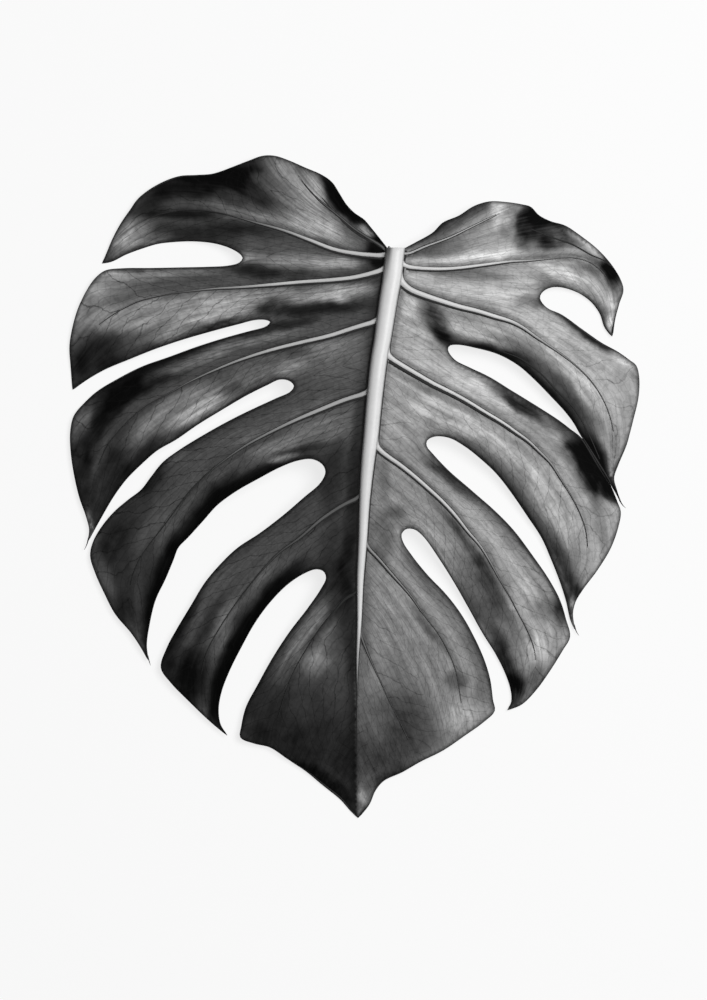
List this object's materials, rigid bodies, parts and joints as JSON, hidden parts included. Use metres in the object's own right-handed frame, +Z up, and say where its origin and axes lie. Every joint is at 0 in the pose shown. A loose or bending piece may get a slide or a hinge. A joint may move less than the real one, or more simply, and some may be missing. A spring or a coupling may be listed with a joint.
{
  "type": "monstera leaf",
  "caption": "Cut split-leaf monstera leaf lying face down: a waved heart-shaped blade with deep slots, raised midrib and side veins, and a short cut stalk end.",
  "frame": {"origin": "centre of the leaf's outer box in plan, on the surface it lies on", "axes": "+Y along the midrib from the leaf's tip to its stalk, +Z up, away from the surface the leaf lies on"},
  "size_m": [0.2566, 0.2979, 0.0226],
  "materials": {
    "leaf": "satin, waxy blade with paler ribs"
  },
  "bodies": {
    "root": {"leaf": "leaf"}
  },
  "joints": []
}
